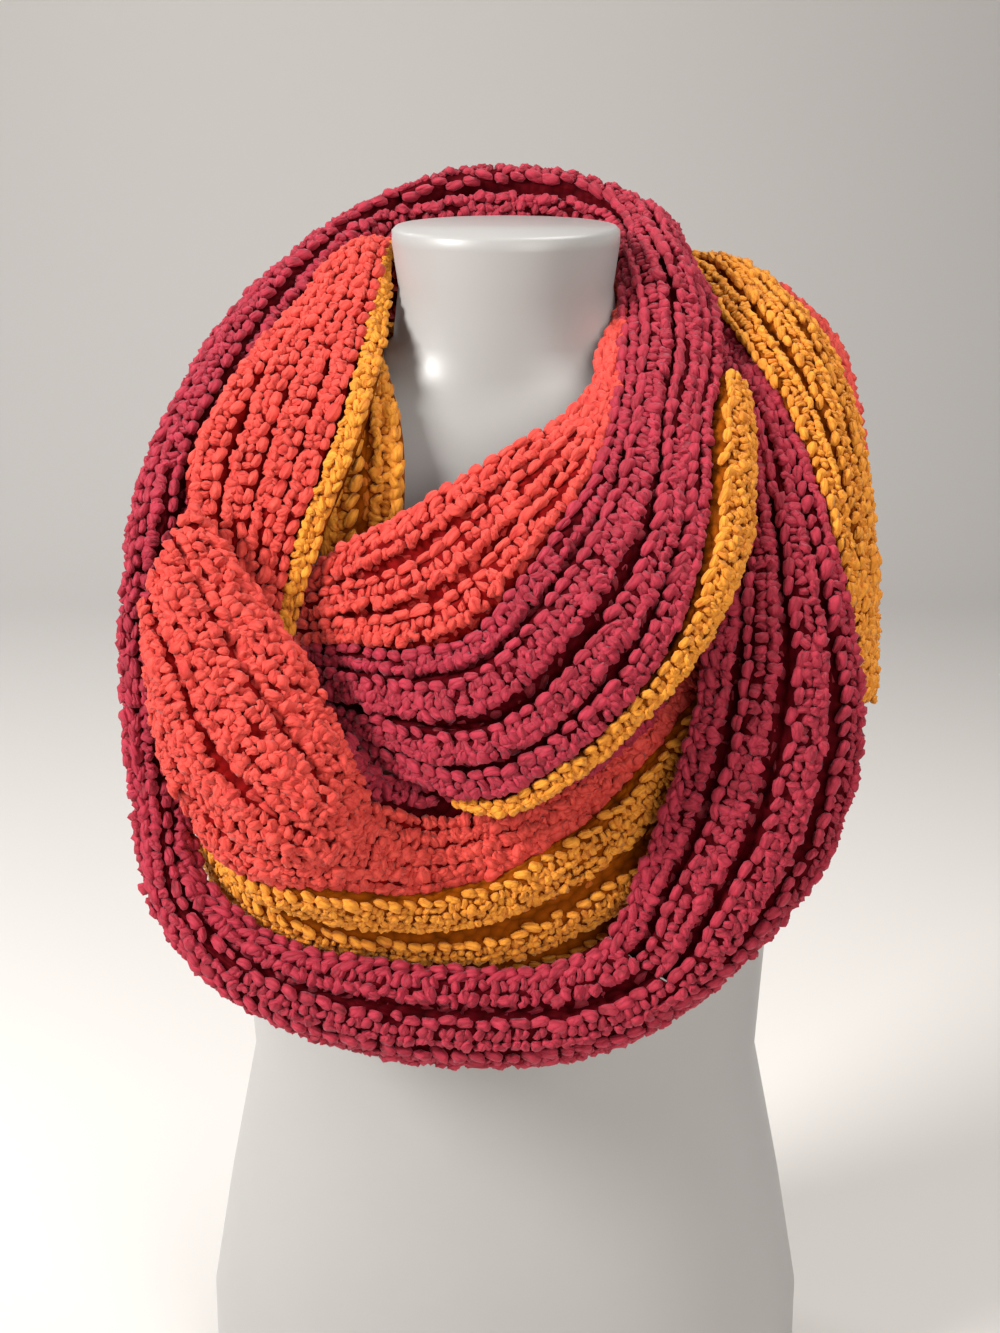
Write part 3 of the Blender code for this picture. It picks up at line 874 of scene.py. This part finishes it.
@dataclass
class Stretch:
    """One stretch of one colour: a ribbed shell with rows of loops on it."""

    band: Band
    stripe: Stripe
    rests_on: tuple[str, ...]
    seed: int

    def width(self, at: np.ndarray) -> np.ndarray:
        """Width of the stretch in mm at row numbers, (n,)."""
        low, high = (self.band.cut(at, edge) for edge in self.stripe.edges)
        return self.band.width(at) * np.maximum(high - low, 0.001)

    def share(self, at: np.ndarray, side: np.ndarray) -> np.ndarray:
        """Shares of the band's width for shares of the stripe's own width, (n,)."""
        low, high = (self.band.cut(at, edge) for edge in self.stripe.edges)
        return low + (high - low) * side

    def height(self, at: np.ndarray, side: np.ndarray) -> np.ndarray:
        """Height of the shell's outside above the middle surface, in mm, (n,)."""
        ends = self.stripe.valleys
        rib = np.clip(np.searchsorted(ends, side, side="right") - 1, 0, len(ends) - 2)
        share = ends[rib + 1] - ends[rib]
        place = np.clip((side - ends[rib]) / share, 0, 1)
        rise = np.minimum(RIB_HEIGHT, RIB_SLENDERNESS * self.width(at) * share)
        wave = np.sin(pi * place**RIB_LEAN) ** (RIB_ROUNDNESS / self.stripe.plump**4)
        return WALL / 2 - SHELL_DEPTH + rise * wave * bool(self.stripe.ribs)

    def surface(self, at: np.ndarray, side: np.ndarray) -> np.ndarray:
        """Points of the shell's outside, in mm, (n, 3)."""
        share = self.share(at, side)
        out = self.band.axes(at, share)[2]
        return self.band.middle(at, share) + out * self.height(at, side)[:, None]

    def flat_size(self) -> tuple[float, float]:
        """Width over the ribs and length of the stretch when laid flat, in metres."""
        ats = np.linspace(self.stripe.start, self.stripe.end, FLAT_SECTIONS)
        sides = np.linspace(0, 1, CELLS_PER_RIB * max(len(self.stripe.ribs), 1) + 1)
        net = np.array([self.surface(np.full(len(sides), at), sides) for at in ats])
        length = np.linalg.norm(np.diff(net, axis=0), axis=2).sum(axis=0).mean()
        width = np.linalg.norm(np.diff(net, axis=1), axis=2).sum(axis=1).mean()
        return width * MM, length * MM

    def build_shell(self, ground: bpy.types.Material) -> bpy.types.Object:
        """The thin ribbed cloth under the loops.

        Args:
            ground: its material.

        Returns:
            The shell, riding on the part and standing for the stretch's solid.
        """
        width, length = self.flat_size()
        along = max(2, round(length / (SHELL_ALONG * MM)))
        across = CELLS_PER_RIB * max(len(self.stripe.ribs), 1)
        mesh = bmesh.new()
        layer = mesh.loops.layers.uv.new("UVMap")
        bmesh.ops.create_grid(mesh, x_segments=along, y_segments=across, size=1.0, calc_uvs=True)
        verts = list(mesh.verts)
        places = np.array([vert.co for vert in verts], float)
        at = self.stripe.start + (self.stripe.end - self.stripe.start) * (places[:, 0] + 1) / 2
        for vert, spot in zip(verts, self.surface(at, (places[:, 1] + 1) / 2) * MM):
            vert.co = spot
        for face in mesh.faces:
            for loop in face.loops:
                loop[layer].uv = (loop[layer].uv.x * length / MM, loop[layer].uv.y * width / MM)
        shell = finished(mesh, self.stripe.name + "_cloth", ground)
        wall = shell.modifiers.new("wall", "SOLIDIFY")
        wall.thickness = SHELL_THICKNESS * MM
        wall.offset = -1.0
        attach(shell, "root")
        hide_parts(self.stripe.name)
        return shell

    def rib_loops(self, rib: int, loops: Loops, chance: np.random.Generator) -> None:
        """Lays the rows of loops of one rib.

        Args:
            rib: number of the rib from the inner side.
            loops: receives them.
            chance: source of their unevenness.
        """
        low, high = self.stripe.valleys[rib : rib + 2]
        across = np.linspace(low, high, RIB_SAMPLES)
        brow = min(BROW * self.stripe.plump, FOOT)
        for start, end in self.stitches_along(low + CREST * (high - low)):
            here = np.full(RIB_SAMPLES, (start + end) / 2)
            steps = np.hypot(np.diff(across) * self.width(here[:-1]), np.diff(self.height(here, across)))
            over = np.concatenate([[0.0], np.cumsum(steps)])
            chain, last = np.interp(low + np.array([CREST, brow]) * (high - low), across, over)
            rows = max(1, round((last - chain) / (ROW_PITCH * self.stripe.gauge)))
            spots = np.interp(np.linspace(chain, last, rows + 1), over, across)
            between = [Place.NECK, *[Place.PUFF] * (rows - 2)][: rows - 1]
            places = [Place.CHAIN, *between, Place.BOBBLE]
            if self.stripe.plump > STUFFED:
                places[: len(places) // 2] = [Place.PUFF] * (len(places) // 2)
            laid = [*zip(spots, places), (low + FOOT * (high - low), Place.UNDER)]
            if rib:
                laid.append((low, Place.VALLEY))
            for spot, place in laid:
                for number in range(place.value.count):
                    ahead = (number - (place.value.count - 1) / 2) * place.value.apart / STITCH_PITCH
                    ahead += 0.5 + STRAY_ALONG * chance.normal()
                    side = spot + STRAY_ACROSS * (high - low) * chance.normal()
                    loops.add(start + ahead * (end - start), min(max(side, 0.0), 1.0), place, chance)

    def stitches_along(self, side: float) -> list[tuple[float, float]]:
        """The row numbers where each stitch of one rib starts and ends.

        Args:
            side: share of the stripe's width at which the rib is measured.

        Returns:
            One pair a stitch.
        """
        fine = np.linspace(self.stripe.start, self.stripe.end, LINE_SAMPLES)
        line = self.surface(fine, np.full(LINE_SAMPLES, side))
        run = np.concatenate([[0.0], np.cumsum(np.linalg.norm(np.diff(line, axis=0), axis=1))])
        count = max(1, round(run[-1] / (STITCH_PITCH * self.stripe.gauge)))
        marks = np.interp(np.arange(count + 1) * run[-1] / count, run, fine)
        return list(zip(marks, marks[1:]))

    def edge_loops(self, high: bool, loops: Loops, chance: np.random.Generator) -> None:
        """Lays the braid along a free edge of the band, where the stripe reaches it.

        Args:
            high: True for the outer edge.
            loops: receives them.
            chance: source of their unevenness.
        """
        for start, end in self.stitches_along(float(high)):
            at = np.array([(start + end) / 2])
            if abs(self.band.cut(at, self.stripe.edges[int(high)])[0] - high) > AT_EDGE:
                continue
            for spot, inset, place in ((at[0], RIM, Place.RIM), (start, BRAID, Place.BRAID)):
                share = min(inset / self.width(at)[0], 0.5)
                loops.add(spot, 1 - share if high else share, place, chance)

    def lay(self) -> Loops:
        """Every loop of the stretch."""
        chance = np.random.default_rng(self.seed)
        loops = Loops()
        for rib in range(len(self.stripe.valleys) - 1):
            self.rib_loops(rib, loops, chance)
        for high in (False, True):
            self.edge_loops(high, loops, chance)
        return loops

    @staticmethod
    def clear_of(form: BVHTree, points: np.ndarray) -> np.ndarray:
        """Moves loops that would press into the dress form out of it.

        Args:
            form: the surface of the form.
            points: middles of the loops in mm, (n, 3).

        Returns:
            The middles, the nearest ones moved.
        """
        moved = points.copy()
        for number, point in enumerate(points):
            place = Vector(point) * MM
            spot, normal = form.find_nearest(place)[:2]
            gap = (place - spot).dot(normal) / MM
            if gap < CLEARANCE:
                moved[number] += np.array(normal) * (CLEARANCE - gap)
        return moved

    def lie(self, at: np.ndarray, side: np.ndarray, angle: np.ndarray) -> tuple[np.ndarray, np.ndarray]:
        """How loops lie on the ribbed cloth.

        Args:
            at: row numbers, (n,).
            side: shares of the stretch's width, (n,).
            angle: radians from the direction of the rib, (n,).

        Returns:
            Unit vectors out of the cloth, and turns about X, Y and Z in radians, each (n, 3).
        """
        along, over, out = self.band.axes(at, self.share(at, side))
        reach = 0.01
        above, below = (self.height(at, np.clip(side + step, 0, 1)) for step in (reach, -reach))
        slope = np.clip((above - below) / (2 * reach * self.width(at)), -STEEPEST, STEEPEST)[:, None]
        normal = unit(out - over * slope)
        ahead, aside = np.cos(angle)[:, None], np.sin(angle)[:, None]
        length = along * ahead + np.cross(normal, along) * aside
        width = np.cross(normal, length)
        length = length * cos(radians(DIP)) - normal * sin(radians(DIP))
        about_x = np.arctan2(width[:, 2], np.cross(length, width)[:, 2])
        about_y = np.arcsin(np.clip(-length[:, 2], -1, 1))
        return normal, np.stack([about_x, about_y, np.arctan2(length[:, 1], length[:, 0])], axis=1)

    def build_stitches(
        self, finish: bpy.types.Material, collection: bpy.types.Collection, form: BVHTree
    ) -> bpy.types.Object:
        """The loops of the stretch as one mesh.

        Args:
            finish: their material.
            collection: the shapes of single loops.
            form: the surface of the dress form, which they stay clear of.

        Returns:
            The stitches, riding on the part.
        """
        loops = self.lay()
        chance = np.random.default_rng(self.seed + 1)
        at = np.clip(np.array(loops.at), self.stripe.start, self.stripe.end)
        side = np.array(loops.side)
        normal, turn = self.lie(at, side, np.array(loops.angle))
        plump = self.stripe.plump
        lift = loops.numbers("lift") + LOOSENESS * plump**2 * chance.normal(size=len(at))
        lift += VALLEY_RISE * (plump - 1) * loops.numbers("shade")
        points = self.clear_of(form, self.surface(at, side) + normal * lift[:, None])
        size = np.stack([loops.numbers(name) for name in ("length", "width", "height")], axis=1)
        size *= np.array(loops.scale)[:, None] * (1 + UNEVEN_SIDES * chance.normal(size=size.shape))
        size *= self.stripe.gauge
        # Painted shade: each loop's shade comes from its row, is less on narrow ribs and on stuffed
        # stretches, and has some spread; it darkens the loop's colour.
        depth = np.clip(self.width(at) / (max(len(self.stripe.ribs), 1) * DEEP_RIB), 0, 1)
        shade = loops.numbers("shade") * depth / plump**2
        kind = np.array([list(Loop).index(place.value.loop) for place in loops.place]) * VARIANTS
        kind += chance.integers(0, VARIANTS, len(kind))
        hue = chance.random(len(kind))
        shade = np.clip(shade + UNEVEN_SHADE * chance.normal(size=len(kind)), 0, 1)
        values = {
            "turn": ("FLOAT_VECTOR", "vector", turn),
            "size": ("FLOAT_VECTOR", "vector", size * MM),
            "kind": ("INT", "value", kind),
            "hue": ("FLOAT", "value", hue),
            "shade": ("FLOAT", "value", shade),
        }
        stitches = lay_shapes(self.stripe.name + "_stitches", points * MM, values, collection)
        stitches.data.materials.clear()
        stitches.data.materials.append(finish)
        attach(stitches, "root")
        return stitches

    def build(self, dressing: "Dressing") -> None:
        """Args:
            dressing: what every stretch is dressed with.
        """
        yarn = self.stripe.yarn
        shell = self.build_shell(dressing.ground[yarn])
        stitches = self.build_stitches(dressing.loops[yarn], dressing.shapes, dressing.form)
        self.flat_size()
        LOG.info("%s: %d faces of stitches", self.stripe.name, len(stitches.data.polygons))


def shape_tree(collection: bpy.types.Collection) -> bpy.types.NodeTree:
    """Geometry nodes that put a shape from the collection on each point and make the result one mesh.

    Args:
        collection: the shapes, in the order of their names.

    Returns:
        The node group.
    """
    graph, given, result = new_group(
        "lay loops", "GeometryNodeTree", "NodeSocketGeometry", {"Geometry": None}, ("Geometry",)
    )
    shapes = graph.add("GeometryNodeCollectionInfo", {"Collection": collection, "Separate Children": True})
    turned = graph.add("FunctionNodeEulerToRotation")
    laid = graph.add("GeometryNodeInstanceOnPoints", {"Pick Instance": True})
    for name, kind, target in (
        ("kind", "INT", laid.inputs["Instance Index"]),
        ("size", "FLOAT_VECTOR", laid.inputs["Scale"]),
        ("turn", "FLOAT_VECTOR", turned.inputs[0]),
    ):
        value = graph.add("GeometryNodeInputNamedAttribute", {"Name": name}, data_type=kind)
        graph.feed(target, value.outputs["Attribute"])
    sources = {"Points": given.outputs[0], "Instance": shapes.outputs[0], "Rotation": turned.outputs[0]}
    graph.fill(laid, sources)
    real = graph.add("GeometryNodeRealizeInstances", {0: laid.outputs[0]})
    graph.fill(result, {0: real.outputs[0]})
    return graph.tree


def lay_shapes(
    name: str, points: np.ndarray, values: dict[str, tuple], collection: bpy.types.Collection
) -> bpy.types.Object:
    """A mesh with a shape at each point.

    Args:
        name: name of the object.
        points: places in metres, (n, 3).
        values: attribute name to its type, property and numbers.
        collection: the shapes.

    Returns:
        The object, with its nodes applied.
    """
    data = bpy.data.meshes.new(name + "_points")
    data.vertices.add(len(points))
    data.vertices.foreach_set("co", points.ravel())
    for key, (kind, prop, numbers) in values.items():
        attribute = data.attributes.new(key, kind, "POINT")
        attribute.data.foreach_set(prop, np.ascontiguousarray(numbers).ravel())
    carrier = bpy.data.objects.new(name + "_points", data)
    bpy.context.scene.collection.objects.link(carrier)
    nodes = carrier.modifiers.new("lay", "NODES")
    nodes.node_group = bpy.data.node_groups.get("lay loops") or shape_tree(collection)
    graph = bpy.context.evaluated_depsgraph_get()
    mesh = bpy.data.meshes.new_from_object(
        carrier.evaluated_get(graph), preserve_all_data_layers=True, depsgraph=graph
    )
    mesh.name = name
    bpy.data.objects.remove(carrier)
    made = bpy.data.objects.new(name, mesh)
    bpy.context.scene.collection.objects.link(made)
    return made


@dataclass
class Dressing:
    """What every stretch is dressed with: the materials, the shapes of loops, and the form it lies on."""

    form: BVHTree
    loops: dict[Yarn, bpy.types.Material] = field(default_factory=dict)
    ground: dict[Yarn, bpy.types.Material] = field(default_factory=dict)
    shapes: bpy.types.Collection = field(init=False)

    def __post_init__(self) -> None:
        """Makes the materials and the shapes."""
        fibres, cells = yarn_group(), ground_group()
        for finish in YARN_FINISHES:
            self.loops[finish.yarn] = finish.stitches(fibres)
            self.ground[finish.yarn] = finish.ground(cells)
        self.shapes = bpy.data.collections.new("loop shapes")
        noise.seed_set(LUMP_SEED)
        for seed, shape in enumerate(LOOP_SHAPES):
            shape.make(self.shapes, seed)


@dataclass(frozen=True)
class Turn:
    """One turn of the scarf: its rows, the stripes that show of it, and what it rests on."""

    rows: tuple[Row, ...]
    stripes: tuple[Stripe, ...]
    rests_on: tuple[str, ...]


@dataclass
class Scarf:
    """The whole wound scarf, turn by turn."""

    turns: tuple[Turn, ...] = (
        Turn(UPPER_TURNS, UPPER_STRIPES, ("dress_form", "lower_orange", "hidden_mustard")),
        Turn(HIDDEN, HIDDEN_STRIPES, ("dress_form",)),
        Turn(LOWER, LOWER_STRIPES, ("dress_form",)),
    )

    def build(self, dressing: Dressing) -> None:
        """Builds every stretch of every turn.

        Args:
            dressing: what every stretch is dressed with.
        """
        seed = FIRST_SEED
        for turn in self.turns:
            band = Band(turn.rows)
            for stripe in turn.stripes:
                Stretch(band, stripe, turn.rests_on, seed).build(dressing)
                seed += SEED_STEP


# ---------------------------------------------------------------- the dress form


@dataclass
class DressForm:
    """The smooth white form that carries the scarf."""

    rings: tuple[Ring, ...] = FORM_RINGS
    segments: int = 96
    sharp: float = 50.0  # degrees between faces past which an edge stays crisp

    def point(self, ring: Ring, angle: float) -> Vector:
        """A point on a level oval, squarer than an ellipse where squareness is over 2.

        Args:
            ring: the section.
            angle: angle round it.

        Returns:
            The point in metres.
        """
        reach = ring.back if sin(angle) > 0 else ring.front
        power = 2 / ring.squareness
        x = ring.half_width * copysign(abs(cos(angle)) ** power, cos(angle))
        y = reach * copysign(abs(sin(angle)) ** power, sin(angle))
        return Vector((x, y, ring.z)) * MM

    def build(self, plastic: bpy.types.Material) -> bpy.types.Object:
        """The form as a loft of its rings, closed at the base and the neck.

        Args:
            plastic: its material.

        Returns:
            The form, standing for its solid.
        """
        mesh = bmesh.new()
        circles = []
        for ring in self.rings:
            made = bmesh.ops.create_circle(mesh, segments=self.segments, radius=1.0)["verts"]
            for number, vert in enumerate(made):
                vert.co = self.point(ring, 2 * pi * number / self.segments)
            circles.append([edge for edge in mesh.edges if edge.verts[0] in made and edge.verts[1] in made])
        for lower, upper in zip(circles, circles[1:]):
            bmesh.ops.bridge_loops(mesh, edges=lower + upper)
        for end in (circles[0], circles[-1]):
            bmesh.ops.holes_fill(mesh, edges=end, sides=self.segments)
        bmesh.ops.recalc_face_normals(mesh, faces=mesh.faces)
        made = finished(mesh, "dress_form_shell", plastic)
        made.data.set_sharp_from_angle(angle=radians(self.sharp))
        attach(made, "root")
        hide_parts("dress_form")
        LOG.info("dress form: %d faces", len(made.data.polygons))
        return made


# ---------------------------------------------------------------- the studio


@dataclass(frozen=True)
class Lamp:
    """A round soft light: its place and width in metres, its power in watts and its colour."""

    name: str
    place: Triple
    size: float
    power: float
    colour: Triple


@dataclass
class Studio:
    """Pale floor and backdrop, soft lights and the camera, in metres."""

    camera_at: Triple = (-0.003, -1.145, 0.770)
    camera_down: float = 16.7  # degrees below level
    focal_pixels: float = 2224.0
    frame_height: float = 1333.0
    sensor_height: float = 36.0  # mm
    floor_half: float = 4.0
    backdrop_y: float = 2.6
    backdrop_height: float = 3.5
    sweep_radius: float = 0.9
    sweep_steps: int = 24
    paint: Triple = (0.68, 0.655, 0.63)
    aim: Triple = (0, -0.05, 0.48)
    surround: Triple = (0.80, 0.80, 0.82)
    surround_strength: float = 0.13
    lamps: tuple[Lamp, ...] = (
        Lamp("window", (-1.72, -0.98, 1.62), 0.80, 74.0, (1.0, 0.985, 0.96)),
        Lamp("fill", (0.9, -1.9, 1.1), 1.4, 25.0, (1.0, 0.96, 0.92)),
        Lamp("top", (0.6, 0.1, 1.9), 0.9, 18.0, (1.0, 0.98, 0.95)),
        Lamp("wash", (-1.7, 1.2, 1.9), 1.0, 14.0, (1.0, 1.0, 1.0)),
    )

    def build_camera(self) -> None:
        """The camera, a little above the neck and looking down at the cloth."""
        data = bpy.data.cameras.new("camera")
        data.sensor_fit = "VERTICAL"
        data.sensor_height = self.sensor_height
        data.lens = self.focal_pixels / self.frame_height * self.sensor_height
        data.clip_start = 0.01
        camera = bpy.data.objects.new("camera", data)
        camera.location = self.camera_at
        camera.rotation_euler = (radians(90 - self.camera_down), 0, 0)
        bpy.context.scene.collection.objects.link(camera)
        bpy.context.scene.camera = camera

    @staticmethod
    def corners(geometry: list) -> list[bmesh.types.BMVert]:
        """The vertices among what an operator made."""
        return [item for item in geometry if isinstance(item, bmesh.types.BMVert)]

    def build_stage(self) -> None:
        """A floor that sweeps up into a plain wall."""
        mesh = bmesh.new()
        corner = [mesh.verts.new((x, -self.floor_half, 0)) for x in (-self.floor_half, self.floor_half)]
        turned = bmesh.ops.extrude_edge_only(mesh, edges=[mesh.edges.new(corner)])["geom"]
        run = self.floor_half + self.backdrop_y - self.sweep_radius
        bmesh.ops.translate(mesh, verts=self.corners(turned), vec=(0, run, 0))
        bmesh.ops.spin(
            mesh,
            geom=turned,
            cent=(0, self.backdrop_y - self.sweep_radius, self.sweep_radius),
            axis=(1, 0, 0),
            angle=radians(90),
            steps=self.sweep_steps,
        )
        top = max(vert.co.z for vert in mesh.verts)
        rim = [edge for edge in mesh.edges if all(vert.co.z > top - 1e-5 for vert in edge.verts)]
        risen = bmesh.ops.extrude_edge_only(mesh, edges=rim)["geom"]
        bmesh.ops.translate(mesh, verts=self.corners(risen), vec=(0, 0, self.backdrop_height))
        paint, graph, shader = new_material("pale paint", self.paint)
        graph.fill(shader, {"Base Color": self.paint, "Roughness": 0.9})
        finished(mesh, "stage", paint)

    def build_lights(self) -> None:
        """Soft lights and a dim even surround."""
        for lamp in self.lamps:
            data = bpy.data.lights.new(lamp.name, "AREA")
            data.energy = lamp.power
            data.shape = "DISK"
            data.size = lamp.size
            data.color = lamp.colour
            light = bpy.data.objects.new(lamp.name, data)
            light.location = lamp.place
            aim = Vector(self.aim) - Vector(lamp.place)
            light.rotation_euler = aim.to_track_quat("-Z", "Y").to_euler()
            bpy.context.scene.collection.objects.link(light)
        world = bpy.data.worlds.new("surround")
        world.use_nodes = True
        background = world.node_tree.nodes["Background"]
        colour = {"Color": self.surround, "Strength": self.surround_strength}
        Graph(world.node_tree).fill(background, colour)
        bpy.context.scene.world = world
        bpy.context.scene.view_settings.view_transform = "Standard"

    def build(self) -> None:
        """Builds the camera, the stage and the lights."""
        self.build_camera()
        self.build_stage()
        self.build_lights()


def main() -> None:
    """Builds the studio, the dress form and the scarf."""
    logging.basicConfig(level=logging.INFO, format="%(name)s: %(message)s")
    Studio().build()
    form = DressForm().build(PlasticFinish().material())
    Scarf().build(Dressing(BVHTree.FromObject(form, bpy.context.evaluated_depsgraph_get())))


if __name__ == "__main__":
    main()
